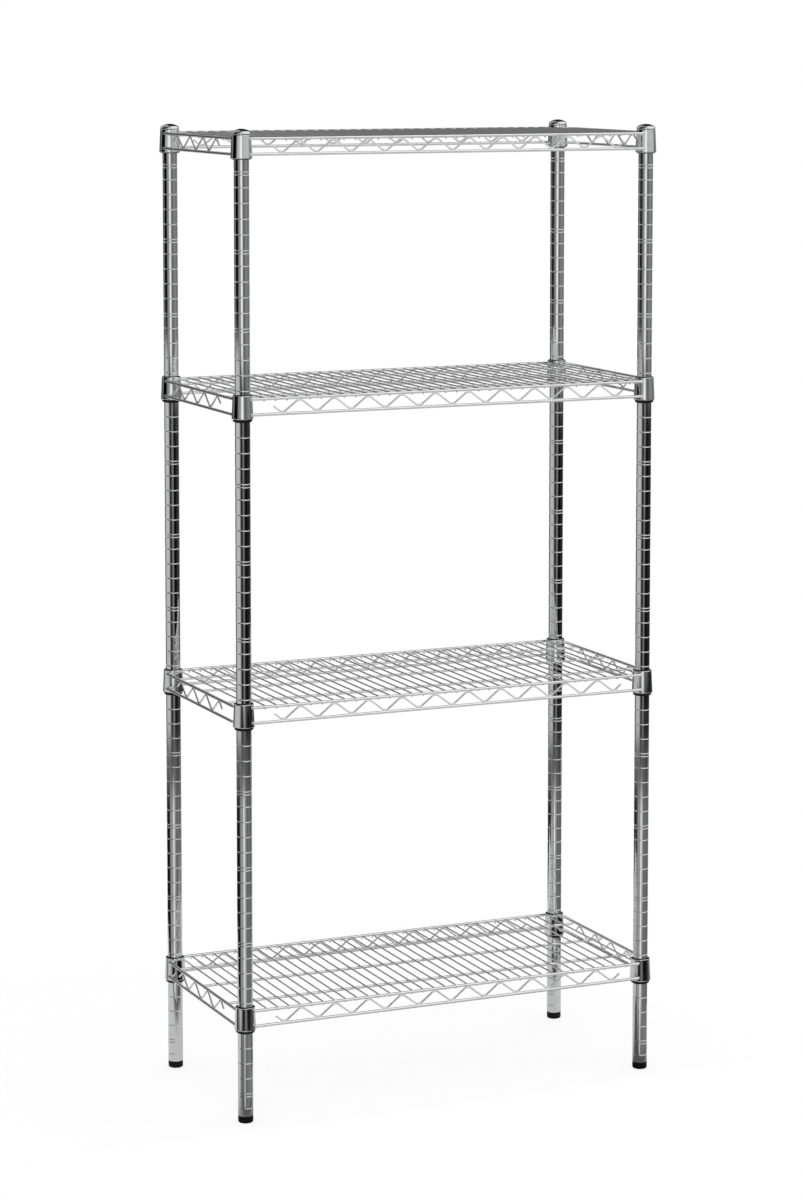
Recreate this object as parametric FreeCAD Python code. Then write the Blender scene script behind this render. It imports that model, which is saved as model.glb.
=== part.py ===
import FreeCAD, Part
import math
import os

# Four-tier chrome wire shelving unit, in millimetres.
# The origin is on the floor at the middle of the unit, +X runs to the right
# along the front, +Y to the back and +Z up.

# Posts
post_spacing_x = 726.0
post_spacing_y = 330.0
post_length = 1600.0
post_diameter = 25.0
post_wall = 1.2

# Grooves rolled into the posts; every fifth carries a second, marker groove
groove_pitch = 25.0
groove_width = 2.0
groove_depth = 0.6
groove_bevel = 0.4
first_groove_height = 13.5
top_groove_drop = 17.5
marker_every = 5
marker_first = 1
marker_offset = 5.0

# Shelf heights, as the number of the groove that each lower shelf stands on
shelf_grooves = {2: 46, 3: 26, 4: 6}

# Tapered corner collars
collar_height = 38.0
collar_wall = 1.8
collar_edge_round = 0.6

# Split sleeves between post and collar, thinner at the collar's upper edge than at its lower edge
sleeve_wall_high = 1.15
sleeve_wall_low = 2.95
sleeve_reach = 4.5
sleeve_reach_top_shelf = 1.5
sleeve_rise = 1.2
sleeve_ridge_height = 25.0
sleeve_chamfer = 1.6
sleeve_top_chamfer = 0.4
sleeve_collar_gap = 0.45
sleeve_post_gap = 0.1
sleeve_ridge_gap = 0.15
sleeve_split_gap = 0.8

# Shelf wires
rail_diameter = 5.0
zigzag_diameter = 3.2
mat_diameter = 2.8
stringer_diameter = 4.5
rail_low_height = 7.0
rail_high_drop = 6.0
weld_set_down = 0.3
rail_end_margin = 0.4

# Mat: cross wires with their ends bent down inside the long rails
mat_pitch = 20.0
mat_end_space = 30.0
mat_bend_radius = 3.2
mat_tip_drop = 2.0
stringer_inset = 53.0

# Zigzag wires between the rails
mats_per_zigzag = 3
zigzag_end_space = 60.0
zigzag_flat = 7.0
zigzag_bend_radius = 5.0
zigzag_tail_share = 0.5

# Post caps
cap_rim_height = 1.0
cap_rise = 8.2
cap_shoulder = 5.2
cap_skirt_wall = 1.8
cap_collar_gap = 0.4
cap_sleeve_side_gap = 0.5
cap_sleeve_top_gap = 0.4
cap_plug_length = 14.0
plug_fit = 0.05

# Levelling feet
foot_height = 11.5
foot_gap = 0.5
foot_round = 3.0
foot_top_chamfer = 0.8
stem_diameter = 10.0
stem_length = 44.0
stem_floor = 2.0
stem_end_gap = 0.1
stem_fit = 0.05
stem_chamfer = 1.0
insert_length = 20.0

X_AXIS = FreeCAD.Vector(1, 0, 0)
Y_AXIS = FreeCAD.Vector(0, 1, 0)
Z_AXIS = FreeCAD.Vector(0, 0, 1)

post_radius = post_diameter / 2
post_bore = post_radius - post_wall
rail_radius = rail_diameter / 2
zigzag_radius = zigzag_diameter / 2
mat_radius = mat_diameter / 2
stringer_radius = stringer_diameter / 2
half_x = post_spacing_x / 2
half_y = post_spacing_y / 2
post_foot = foot_height + foot_gap
post_top = post_foot + post_length
sleeve_inner = post_radius + sleeve_post_gap
sleeve_height = sleeve_reach + collar_height + sleeve_rise
sleeve_to_collar = sleeve_collar_gap + collar_wall
rail_heights = (rail_low_height, collar_height - rail_high_drop)
rail_top = rail_heights[1]
mat_axis = rail_top + rail_radius - mat_radius
corners = {
    "front_left": (-half_x, -half_y),
    "front_right": (half_x, -half_y),
    "back_left": (-half_x, half_y),
    "back_right": (half_x, half_y),
}

# Where each shelf stands: its sleeves' lower edge and its collars' lower edge
sleeve_bases = {1: post_top - top_groove_drop - sleeve_ridge_height}
for shelf_number, groove_number in shelf_grooves.items():
    groove = post_foot + first_groove_height + groove_number * groove_pitch
    sleeve_bases[shelf_number] = groove - sleeve_ridge_height
collar_bases = {n: base + sleeve_reach for n, base in sleeve_bases.items()}
collar_bases[1] = sleeve_bases[1] + sleeve_reach_top_shelf


# Helpers
def save(name, solids):
    shape = solids[0] if len(solids) == 1 else Part.makeCompound(solids)
    shape.exportStep("parts/" + name + ".step")
    print(name, len(solids), "solids", round(shape.Volume), "mm3")


def moved(shape, x=0.0, y=0.0, z=0.0):
    copy = shape.copy()
    copy.translate(FreeCAD.Vector(x, y, z))
    return copy


def profile_face(points):
    """Flat face in the XZ plane from a closed outline of (radius, height) points."""
    corners_3d = [FreeCAD.Vector(r, 0, z) for r, z in points]
    return Part.Face(Part.makePolygon(corners_3d + corners_3d[:1]))


def turned(face, start=0.0, sweep=360.0):
    """Solid of revolution about Z, from the start angle through the sweep angle."""
    placed = face.copy()
    placed.rotate(FreeCAD.Vector(0, 0, 0), Z_AXIS, start)
    return placed.revolve(FreeCAD.Vector(0, 0, 0), Z_AXIS, sweep)


def straight_wire(start, end, radius):
    run = end - start
    return Part.makeCylinder(radius, run.Length, start, run)


def rounded_path(points, radius):
    """Straight runs through the points, joined by tangent arcs of one radius."""
    edges = []
    start = points[0]
    for before, corner, after in zip(points, points[1:], points[2:]):
        back = (before - corner).normalize()
        ahead = (after - corner).normalize()
        half_turn = (math.pi - back.getAngle(ahead)) / 2
        cut = radius * math.tan(half_turn)
        into = corner + back * cut
        out = corner + ahead * cut
        middle = (back + ahead).normalize()
        crown = corner + middle * (radius / math.cos(half_turn) - radius)
        edges.append(Part.LineSegment(start, into).toShape())
        edges.append(Part.Arc(into, crown, out).toShape())
        start = out
    edges.append(Part.LineSegment(start, points[-1]).toShape())
    return Part.Wire(edges)


def bent_wire(points, bend_radius, radius):
    section = Part.Wire(Part.makeCircle(radius, points[0], points[1] - points[0]))
    return rounded_path(points, bend_radius).makePipeShell([section], True, False)


# Posts
def groove_outline(height):
    low = height - groove_width / 2
    high = height + groove_width / 2
    floor = post_radius - groove_depth
    return [
        (post_radius, low),
        (floor, low + groove_bevel),
        (floor, high - groove_bevel),
        (post_radius, high),
    ]


def groove_heights():
    """Heights of every groove above the lower end of the tube, lowest first."""
    top = post_length - top_groove_drop
    count = int((top - first_groove_height) / groove_pitch + 0.5)
    heights = [top]
    for number in range(count):
        height = first_groove_height + number * groove_pitch
        heights.append(height)
        if number % marker_every == marker_first:
            heights.append(height - marker_offset)
    return sorted(heights)


def make_post():
    outline = [(post_bore, 0.0), (post_radius, 0.0)]
    for height in groove_heights():
        outline += groove_outline(height)
    outline += [(post_radius, post_length), (post_bore, post_length)]
    return turned(profile_face(outline))


# Sizes that collar, sleeve and cap share
def collar_radius(height):
    """Outside radius of the collar at a height above its lower edge."""
    low = sleeve_inner + sleeve_wall_low + sleeve_to_collar
    high = sleeve_inner + sleeve_wall_high + sleeve_to_collar
    return low + (high - low) * height / collar_height


def sleeve_radius(height):
    """Outside radius of the sleeve at a height above its own lower edge."""
    return collar_radius(height - sleeve_reach) - sleeve_to_collar


# Post caps: a dome with a short skirt, a boss on the tube's end and a plug inside it
def make_cap():
    hollow = sleeve_radius(sleeve_height) + cap_sleeve_side_gap
    rim = hollow + cap_skirt_wall
    ceiling = sleeve_bases[1] + sleeve_height + cap_sleeve_top_gap - post_top
    skirt_low = collar_bases[1] + collar_height + cap_collar_gap - post_top
    rim_top = skirt_low + cap_rim_height
    crown_top = rim_top + cap_rise
    inset = rim - cap_shoulder
    bulge = cap_rise - cap_shoulder
    drop = (inset ** 2 - bulge ** 2) / (2 * bulge)
    crown_radius = cap_rise + drop
    meet = math.atan2(drop, inset)

    def on_shoulder(angle):
        r = inset + cap_shoulder * math.cos(angle)
        return FreeCAD.Vector(r, 0, rim_top + cap_shoulder * math.sin(angle))

    def on_crown(angle):
        r = crown_radius * math.cos(angle)
        return FreeCAD.Vector(r, 0, rim_top - drop + crown_radius * math.sin(angle))

    plug = post_bore - plug_fit
    inside = [(0.0, -cap_plug_length), (plug, -cap_plug_length), (plug, 0.0), (post_radius, 0.0),
              (post_radius, ceiling), (hollow, ceiling), (hollow, skirt_low), (rim, skirt_low)]
    corner_points = [FreeCAD.Vector(r, 0, z) for r, z in inside] + [on_shoulder(0)]
    crown_point = FreeCAD.Vector(0, 0, crown_top)
    edges = [Part.makeLine(a, b) for a, b in zip(corner_points, corner_points[1:])]
    edges.append(Part.Arc(on_shoulder(0), on_shoulder(meet / 2), on_shoulder(meet)).toShape())
    edges.append(Part.Arc(on_shoulder(meet), on_crown((meet + math.pi / 2) / 2), crown_point).toShape())
    edges.append(Part.makeLine(crown_point, corner_points[0]))
    return turned(Part.Face(Part.Wire(edges)))


# Levelling feet: pad, threaded stem and the insert pressed into the tube
def make_foot_pad():
    bore = stem_diameter / 2 + stem_fit
    outline = [(0.0, 0.0), (post_radius, 0.0), (post_radius, foot_height - foot_top_chamfer),
               (post_radius - foot_top_chamfer, foot_height), (bore, foot_height),
               (bore, stem_floor), (0.0, stem_floor)]
    pad = turned(profile_face(outline))
    lower_edges = [e for e in pad.Edges if e.BoundBox.ZMax < 1e-6 and len(e.Vertexes) == 1]
    return pad.makeFillet(foot_round, lower_edges)


def make_foot_stem():
    radius = stem_diameter / 2
    low = stem_floor + stem_end_gap
    high = low + stem_length
    return turned(profile_face([(0.0, low), (radius, low), (radius, high - stem_chamfer),
                                (radius - stem_chamfer, high), (0.0, high)]))


def make_foot_insert():
    bore = stem_diameter / 2 + stem_fit
    outer = post_bore - plug_fit
    return turned(profile_face([(bore, 0.0), (outer, 0.0), (outer, insert_length), (bore, insert_length)]))


# Collars and their split sleeves
def make_collar():
    top = collar_radius(collar_height)
    low = collar_radius(0)
    collar = turned(profile_face([(low - collar_wall, 0.0), (low, 0.0),
                                  (top, collar_height), (top - collar_wall, collar_height)]))
    rims = [e for e in collar.Edges if len(e.Vertexes) == 1 and e.BoundBox.ZLength < 1e-6]
    return collar.makeFillet(collar_edge_round, rims)


def sleeve_profile():
    """Half section of the sleeve, measured up from its own lower edge."""
    ridge = post_radius - groove_depth + sleeve_ridge_gap
    ridge_half = groove_width / 2 - sleeve_ridge_gap
    shoulder = sleeve_height - sleeve_top_chamfer
    return profile_face([
        (sleeve_inner, 0.0),
        (sleeve_radius(sleeve_chamfer) - sleeve_chamfer, 0.0),
        (sleeve_radius(sleeve_chamfer), sleeve_chamfer),
        (sleeve_radius(shoulder), shoulder),
        (sleeve_radius(sleeve_height) - sleeve_top_chamfer, sleeve_height),
        (sleeve_inner, sleeve_height),
        (sleeve_inner, sleeve_ridge_height + ridge_half),
        (ridge, sleeve_ridge_height + ridge_half - groove_bevel),
        (ridge, sleeve_ridge_height - ridge_half + groove_bevel),
        (sleeve_inner, sleeve_ridge_height - ridge_half),
    ])


def make_sleeve_halves():
    """Front half and back half, a small gap apart on each side."""
    face = sleeve_profile()
    edge = math.degrees(sleeve_split_gap / post_diameter)
    sweep = 180 - 2 * edge
    return turned(face, 180 + edge, sweep), turned(face, edge, sweep)


# Shelf wires, with the lower edge of the collars at height zero
def rail_offset(height):
    """Distance of a rail's axis outside the line of post axes: flush with the collar's outside."""
    return collar_radius(height) - rail_radius


def rail_end(height):
    """Distance of a rail's end from the post axis: inside the collar's wall, clear of its bore."""
    bore = collar_radius(height) - collar_wall
    inner_edge = collar_radius(height) - rail_diameter
    return math.sqrt(bore ** 2 - inner_edge ** 2) + rail_end_margin


def make_rails(along, across, half_along, half_across, collars):
    """Two rails on each side, their ends coped to the collars that they are welded to."""
    cone = Part.makeCone(collar_radius(0), collar_radius(collar_height), collar_height)
    tools = [moved(cone, x, y) for x, y in collars]
    rails = []
    for side in (-1, 1):
        for height in rail_heights:
            place = across * (side * (half_across + rail_offset(height))) + Z_AXIS * height
            reach = along * (half_along - rail_end(height))
            rails.append(straight_wire(place - reach, place + reach, rail_radius).cut(tools).Solids[0])
    return rails


def make_zigzags(along, across, half_along, half_across):
    """One bent wire on each side, leaning with the rails, with a free tail at each end."""
    stroke = mats_per_zigzag * mat_pitch / 2
    last = int((half_along - zigzag_end_space) / stroke)
    seat = rail_radius + zigzag_radius - weld_set_down
    wires = []
    for side in (-1, 1):
        low, high = [across * (side * (half_across + rail_offset(h))) + Z_AXIS * h for h in rail_heights]
        up = (high - low).normalize()
        span = (high - low).Length
        levels = (low + up * seat, low + up * (span - seat))
        tail = (stroke - zigzag_flat) * zigzag_tail_share
        tail_rise = (span - 2 * seat) * zigzag_tail_share
        turn_up = up * (tail_rise if last % 2 == 0 else -tail_rise)
        end = last * stroke + zigzag_flat / 2 + tail
        points = [levels[last % 2] + turn_up - along * end]
        for number in range(-last, last + 1):
            middle = levels[number % 2] + along * (number * stroke)
            points.append(middle - along * (zigzag_flat / 2))
            points.append(middle + along * (zigzag_flat / 2))
        points.append(levels[last % 2] + turn_up + along * end)
        wires.append(bent_wire(points, zigzag_bend_radius, zigzag_radius))
    return wires


def make_mat_wires():
    count = 2 * int((half_x - mat_end_space) / mat_pitch + 0.5)
    leg = half_y + rail_offset(rail_top) - rail_radius - mat_radius + weld_set_down
    tip = rail_top - rail_radius - mat_tip_drop
    points = [FreeCAD.Vector(0, -leg, tip), FreeCAD.Vector(0, -leg, mat_axis),
              FreeCAD.Vector(0, leg, mat_axis), FreeCAD.Vector(0, leg, tip)]
    wire = bent_wire(points, mat_bend_radius, mat_radius)
    return [moved(wire, (k - (count - 1) / 2) * mat_pitch) for k in range(count)]


def make_stringers():
    height = mat_axis - mat_radius - stringer_radius + weld_set_down
    reach = half_x + rail_offset(rail_top) - rail_radius + weld_set_down
    rows = (stringer_inset - half_y, 0.0, half_y - stringer_inset)
    start = [FreeCAD.Vector(-reach, y, height) for y in rows]
    return [straight_wire(p, p + X_AXIS * (2 * reach), stringer_radius) for p in start]


def make_shelf():
    """All the pieces of one shelf, as lists of solids by name."""
    places = list(corners.values())
    collar = make_collar()
    long_zigzags = make_zigzags(X_AXIS, Y_AXIS, half_x, half_y)
    side_zigzags = make_zigzags(Y_AXIS, X_AXIS, half_y, half_x)
    return {
        "collars": [moved(collar, x, y) for x, y in places],
        "long_rails": make_rails(X_AXIS, Y_AXIS, half_x, half_y, places),
        "side_rails": make_rails(Y_AXIS, X_AXIS, half_y, half_x, places),
        "zigzags": long_zigzags + side_zigzags,
        "mat_wires": make_mat_wires(),
        "stringers": make_stringers(),
    }


# Write the pieces
os.makedirs("parts", exist_ok=True)

corner_pieces = {
    "post": (make_post(), post_foot),
    "post_cap": (make_cap(), post_top),
    "foot_insert": (make_foot_insert(), post_foot),
    "foot_stem": (make_foot_stem(), 0.0),
    "foot_pad": (make_foot_pad(), 0.0),
}
for piece, (solid, height) in corner_pieces.items():
    for corner, (x, y) in corners.items():
        save(piece + "_" + corner, [moved(solid, x, y, height)])

sleeve_halves = make_sleeve_halves()
shelf_pieces = make_shelf()
for number in sorted(collar_bases):
    shelf = "shelf_" + str(number) + "_"
    for corner, (x, y) in corners.items():
        halves = [moved(half, x, y, sleeve_bases[number]) for half in sleeve_halves]
        save(shelf + "sleeve_" + corner, halves)
    for piece, solids in shelf_pieces.items():
        save(shelf + piece, [moved(solid, z=collar_bases[number]) for solid in solids])
    print(shelf + "collars stand at", collar_bases[number])
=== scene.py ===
# %% [markdown]
# # A chrome wire shelving unit
# Four welded wire shelves stand on four grooved tube posts. The CAD model holds every size
# and place, so it is loaded as a fixed frame, and each piece that shows is modelled again
# on top of it with finer rounds. The CAD meshes could be shaded as they are, but their wires
# have only a few flat sides, and on chrome every flat shows as a stripe.

# %% Load the frame
import math

import bpy
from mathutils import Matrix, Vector


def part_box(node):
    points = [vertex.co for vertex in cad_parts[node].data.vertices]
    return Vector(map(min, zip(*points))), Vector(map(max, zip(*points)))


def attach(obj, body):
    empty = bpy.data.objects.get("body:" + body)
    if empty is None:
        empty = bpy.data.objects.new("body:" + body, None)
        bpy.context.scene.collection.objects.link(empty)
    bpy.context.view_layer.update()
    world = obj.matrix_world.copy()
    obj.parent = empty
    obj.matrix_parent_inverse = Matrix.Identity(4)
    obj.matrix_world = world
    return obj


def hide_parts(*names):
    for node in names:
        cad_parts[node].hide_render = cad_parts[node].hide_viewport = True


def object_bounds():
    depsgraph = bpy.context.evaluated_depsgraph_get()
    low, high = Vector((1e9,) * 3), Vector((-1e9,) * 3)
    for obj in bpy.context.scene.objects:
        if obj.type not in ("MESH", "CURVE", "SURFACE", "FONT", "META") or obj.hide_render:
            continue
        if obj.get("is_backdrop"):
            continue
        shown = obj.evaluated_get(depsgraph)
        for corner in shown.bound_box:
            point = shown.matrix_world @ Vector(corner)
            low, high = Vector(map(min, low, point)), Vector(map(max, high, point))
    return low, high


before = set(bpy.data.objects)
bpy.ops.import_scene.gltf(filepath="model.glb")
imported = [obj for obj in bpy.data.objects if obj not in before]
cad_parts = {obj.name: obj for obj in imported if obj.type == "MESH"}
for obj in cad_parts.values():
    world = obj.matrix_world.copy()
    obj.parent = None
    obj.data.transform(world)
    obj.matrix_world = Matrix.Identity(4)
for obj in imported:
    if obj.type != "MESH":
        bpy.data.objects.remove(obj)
cad_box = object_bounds()

# %% Where the CAD model puts things
MM = 0.001
TOUCH = 1e-6
CORNERS = ("front_left", "front_right", "back_left", "back_right")
SHELVES = (1, 2, 3, 4)


def middle_of(node):
    low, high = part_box(node)
    return (low + high) / 2


post_places = {corner: middle_of("post_" + corner) * Vector((1, 1, 0)) for corner in CORNERS}
post_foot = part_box("post_front_left")[0].z
post_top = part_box("post_front_left")[1].z
half_x = post_places["front_right"].x
half_y = post_places["back_right"].y
shelf_bases = {n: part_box(f"shelf_{n}_collars")[0].z for n in SHELVES}
sleeve_bases = {n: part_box(f"shelf_{n}_sleeve_front_left")[0].z for n in SHELVES}
print("posts stand", round(2 * half_x, 4), "by", round(2 * half_y, 4), "m apart")
print("shelves at", {n: round(z, 4) for n, z in shelf_bases.items()})

# %% [markdown]
# ## Turned pieces
# Posts, caps, collars, sleeves and feet are all round, as if turned on a lathe. They could
# start as cylinders with many loops scaled one by one. It is quicker to draw half of the
# section, one point extruded from corner to corner, and to spin that outline about the axis.

# %% Start and close a piece
SHARP_ANGLE = 38.0


def begin_piece(name):
    """An empty mesh at the origin, open in edit mode."""
    bpy.ops.object.select_all(action="DESELECT")
    bpy.ops.mesh.primitive_plane_add(size=1.0)
    piece = bpy.context.object
    piece.name = name
    piece.data.name = name
    bpy.ops.object.mode_set(mode="EDIT")
    bpy.ops.mesh.select_all(action="SELECT")
    bpy.ops.mesh.delete(type="VERT")
    return piece


def close_piece(piece, sharp_angle=SHARP_ANGLE):
    """Merge doubles, point the faces outwards, and smooth all but the sharp edges."""
    bpy.ops.mesh.select_all(action="SELECT")
    bpy.ops.mesh.remove_doubles(threshold=TOUCH)
    bpy.ops.mesh.normals_make_consistent(inside=False)
    bpy.ops.object.mode_set(mode="OBJECT")
    bpy.ops.object.shade_smooth_by_angle(angle=math.radians(sharp_angle))
    print(piece.name, len(piece.data.polygons), "faces")
    return piece


# %% Draw a half section and spin it
def draw_outline(outline):
    """One point, extruded through the (radius, height) corners of a half section."""
    corners = [Vector((radius, 0, height)) for radius, height in outline]
    bpy.ops.mesh.primitive_plane_add(size=MM, location=corners[0])
    bpy.ops.mesh.merge(type="CENTER")
    for here, there in zip(corners, corners[1:]):
        bpy.ops.mesh.extrude_region_move(TRANSFORM_OT_translate={"value": there - here})
    bpy.ops.mesh.select_all(action="SELECT")


def turn_piece(name, outline, steps):
    piece = begin_piece(name)
    draw_outline(outline)
    bpy.ops.mesh.spin(steps=steps, angle=math.tau, center=(0, 0, 0), axis=(0, 0, 1))
    return close_piece(piece)


def arc(centre, radius, start, end, steps):
    """Points on a circle in the half section, from one angle in degrees to another."""
    turns = [math.radians(start + (end - start) * k / steps) for k in range(steps + 1)]
    return [(centre[0] + radius * math.cos(t), centre[1] + radius * math.sin(t)) for t in turns]


# %% Copy a finished piece to its place
def copy_piece(piece, name, offset):
    """A copy with its own mesh, moved inside its mesh so that the object stays at the origin."""
    bpy.ops.object.select_all(action="DESELECT")
    piece.select_set(True)
    bpy.context.view_layer.objects.active = piece
    bpy.ops.object.duplicate()
    copy = bpy.context.object
    copy.name = name
    copy.data.name = name
    bpy.ops.object.mode_set(mode="EDIT")
    bpy.ops.mesh.select_all(action="SELECT")
    bpy.ops.transform.translate(value=offset)
    bpy.ops.object.mode_set(mode="OBJECT")
    return copy


def apply_modifier(piece, kind, **settings):
    bpy.ops.object.select_all(action="DESELECT")
    piece.select_set(True)
    bpy.context.view_layer.objects.active = piece
    modifier = piece.modifiers.new(kind.title(), kind)
    for name, value in settings.items():
        setattr(modifier, name, value)
    bpy.ops.object.modifier_apply(modifier=modifier.name)


def repeat_piece(piece, count, step):
    """An Array modifier lays copies one step apart, in the same mesh."""
    apply_modifier(piece, "ARRAY", count=count, use_relative_offset=False,
                   use_constant_offset=True, constant_offset_displace=step)


def remove_pattern(piece):
    """The first model of a repeated piece goes once its copies stand."""
    bpy.data.objects.remove(piece)


# %% [markdown]
# ## Posts
# Each post is a steel tube with a groove rolled round it at every pitch. At every fifth a
# second groove marks the height. The grooves could be painted on with a bump, but they
# catch the light on their edges and the sleeves lock into them, so they are real rings.

# %% Post outline
POST_RADIUS = 12.5 * MM
POST_BORE = 11.3 * MM
GROOVE_PITCH = 25.0 * MM
GROOVE_DEPTH = 0.6 * MM
FIRST_GROOVE = 13.5 * MM
TOP_GROOVE_DROP = 17.5 * MM
MARKER_EVERY = 5
MARKER_FIRST = 1
MARKER_OFFSET = 5.0 * MM
GROOVE_SECTION = ((-1.0, 0.0), (-0.6, 0.7), (-0.25, 1.0), (0.25, 1.0), (0.6, 0.7), (1.0, 0.0))
GROOVE_HALF = 1.0 * MM
POST_STEPS = 48

top_groove = post_top - TOP_GROOVE_DROP
groove_count = round((top_groove - post_foot - FIRST_GROOVE) / GROOVE_PITCH)
grooves = [top_groove]
for number in range(groove_count):
    height = post_foot + FIRST_GROOVE + number * GROOVE_PITCH
    grooves.append(height)
    if number % MARKER_EVERY == MARKER_FIRST:
        grooves.append(height - MARKER_OFFSET)
post_outline = [(POST_BORE, post_foot), (POST_RADIUS, post_foot)]
for height in sorted(grooves):
    for along, deep in GROOVE_SECTION:
        post_outline.append((POST_RADIUS - deep * GROOVE_DEPTH, height + along * GROOVE_HALF))
post_outline += [(POST_RADIUS, post_top), (POST_BORE, post_top), (POST_BORE, post_foot)]
print("post outline has", len(post_outline), "corners and", len(grooves), "grooves")

# %% Turn one post and copy it to the four corners
post_pattern = turn_piece("post_pattern", post_outline, POST_STEPS)
posts = {c: copy_piece(post_pattern, "post_tube_" + c, post_places[c]) for c in CORNERS}
remove_pattern(post_pattern)
print("made", len(posts), "posts")

# %% [markdown]
# ## Post caps
# A round dome closes each tube. It is flush with the collar of the top shelf, and its short
# skirt hides the end of the sleeve. A sphere could be cut in half for it, but the real dome is
# flatter, so two arcs make its top: a tight one at the shoulder and a wide one over the crown.

# %% Cap outline
CAP_RIM = 15.99 * MM
CAP_SKIRT_WALL = 1.8 * MM
CAP_SKIRT_LOW = -2.6 * MM
CAP_SKIRT_EDGE = 0.15 * MM
CAP_RIM_HEIGHT = 1.0 * MM
CAP_CEILING = 1.6 * MM
CAP_RISE = 8.2 * MM
CAP_SHOULDER = 5.2 * MM
CAP_PLUG = 11.25 * MM
CAP_PLUG_LENGTH = 14.0 * MM
CAP_EDGE_STEPS = 3
CAP_SHOULDER_STEPS = 10
CAP_CROWN_STEPS = 8
CAP_STEPS = 64

rim_top = CAP_SKIRT_LOW + CAP_RIM_HEIGHT
cap_inset = CAP_RIM - CAP_SHOULDER
cap_bulge = CAP_RISE - CAP_SHOULDER
crown_drop = (cap_inset ** 2 - cap_bulge ** 2) / (2 * cap_bulge)
crown_radius = CAP_RISE + crown_drop
shoulder_end = math.degrees(math.atan2(crown_drop, cap_inset))
skirt_bore = CAP_RIM - CAP_SKIRT_WALL
skirt_edge = (CAP_RIM - CAP_SKIRT_EDGE, CAP_SKIRT_LOW + CAP_SKIRT_EDGE)
crown_centre = (0.0, rim_top - crown_drop)
cap_outline = [(0.0, -CAP_PLUG_LENGTH), (CAP_PLUG, -CAP_PLUG_LENGTH)]
cap_outline += [(CAP_PLUG, 0.0), (POST_RADIUS, 0.0), (POST_RADIUS, CAP_CEILING)]
cap_outline += [(skirt_bore, CAP_CEILING), (skirt_bore, CAP_SKIRT_LOW)]
cap_outline += arc(skirt_edge, CAP_SKIRT_EDGE, 270, 360, CAP_EDGE_STEPS)
cap_outline += arc((cap_inset, rim_top), CAP_SHOULDER, 0, shoulder_end, CAP_SHOULDER_STEPS)
cap_outline += arc(crown_centre, crown_radius, shoulder_end, 90, CAP_CROWN_STEPS)[1:]
print("cap outline has", len(cap_outline), "corners")

# %% Turn one cap and copy it
cap_pattern = turn_piece("cap_pattern", cap_outline, CAP_STEPS)
cap_seat = Vector((0, 0, post_top))
caps = {c: copy_piece(cap_pattern, "cap_dome_" + c, post_places[c] + cap_seat) for c in CORNERS}
remove_pattern(cap_pattern)
print("made", len(caps), "caps")

# %% [markdown]
# ## Levelling feet
# A black foot under each post turns on a threaded stem to level the unit. The pad is turned
# with a rounded lower edge. The thread only shows when the foot is screwed out. A Screw
# modifier lifts a small tooth outline round the axis, as a die cuts a real thread.

# %% Foot pads
FOOT_HEIGHT = 11.5 * MM
FOOT_ROUND = 3.0 * MM
FOOT_TOP_ROUND = 0.8 * MM
FOOT_WAIST = 0.35 * MM
FOOT_WAIST_LOW = 7.0 * MM
FOOT_WAIST_HIGH = 8.0 * MM
STEM_BORE = 5.05 * MM
STEM_FLOOR = 2.0 * MM
FOOT_ROUND_STEPS = 7
FOOT_TOP_STEPS = 4
FOOT_STEPS = 64

waist = POST_RADIUS - FOOT_WAIST
low_edge = (POST_RADIUS - FOOT_ROUND, FOOT_ROUND)
top_edge = (POST_RADIUS - FOOT_TOP_ROUND, FOOT_HEIGHT - FOOT_TOP_ROUND)
pad_outline = [(0.0, 0.0)]
pad_outline += arc(low_edge, FOOT_ROUND, -90, 0, FOOT_ROUND_STEPS)
pad_outline += [(POST_RADIUS, FOOT_WAIST_LOW), (waist, FOOT_WAIST_LOW + FOOT_WAIST)]
pad_outline += [(waist, FOOT_WAIST_HIGH), (POST_RADIUS, FOOT_WAIST_HIGH + FOOT_WAIST)]
pad_outline += arc(top_edge, FOOT_TOP_ROUND, 0, 90, FOOT_TOP_STEPS)
pad_outline += [(STEM_BORE, FOOT_HEIGHT), (STEM_BORE, STEM_FLOOR), (0.0, STEM_FLOOR)]
pad_pattern = turn_piece("pad_pattern", pad_outline, FOOT_STEPS)
pads = {c: copy_piece(pad_pattern, "foot_cup_" + c, post_places[c]) for c in CORNERS}
remove_pattern(pad_pattern)

# %% Threaded stems
THREAD_PITCH = 1.5 * MM
THREAD_CREST = 5.0 * MM
THREAD_ROOT = 4.25 * MM
CREST_START = 0.45
CREST_END = 0.6
STEM_LOW = 2.1 * MM
STEM_LENGTH = 44.0 * MM
THREAD_STEPS = 24

stem_pattern = begin_piece("stem_pattern")
draw_outline([(THREAD_ROOT, STEM_LOW),
              (THREAD_CREST, STEM_LOW + CREST_START * THREAD_PITCH),
              (THREAD_CREST, STEM_LOW + CREST_END * THREAD_PITCH),
              (THREAD_ROOT, STEM_LOW + THREAD_PITCH)])
bpy.ops.object.mode_set(mode="OBJECT")
thread_turns = int(STEM_LENGTH / THREAD_PITCH) - 1
apply_modifier(stem_pattern, "SCREW", axis="Z", angle=math.tau, screw_offset=THREAD_PITCH,
               iterations=thread_turns, steps=THREAD_STEPS, render_steps=THREAD_STEPS,
               use_merge_vertices=True)
bpy.ops.object.mode_set(mode="EDIT")
bpy.ops.mesh.select_all(action="SELECT")
bpy.ops.mesh.remove_doubles(threshold=TOUCH)
bpy.ops.mesh.fill_holes(sides=0)
close_piece(stem_pattern)
stems = {c: copy_piece(stem_pattern, "foot_thread_" + c, post_places[c]) for c in CORNERS}
remove_pattern(stem_pattern)
print("each thread has", thread_turns, "turns")

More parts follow.
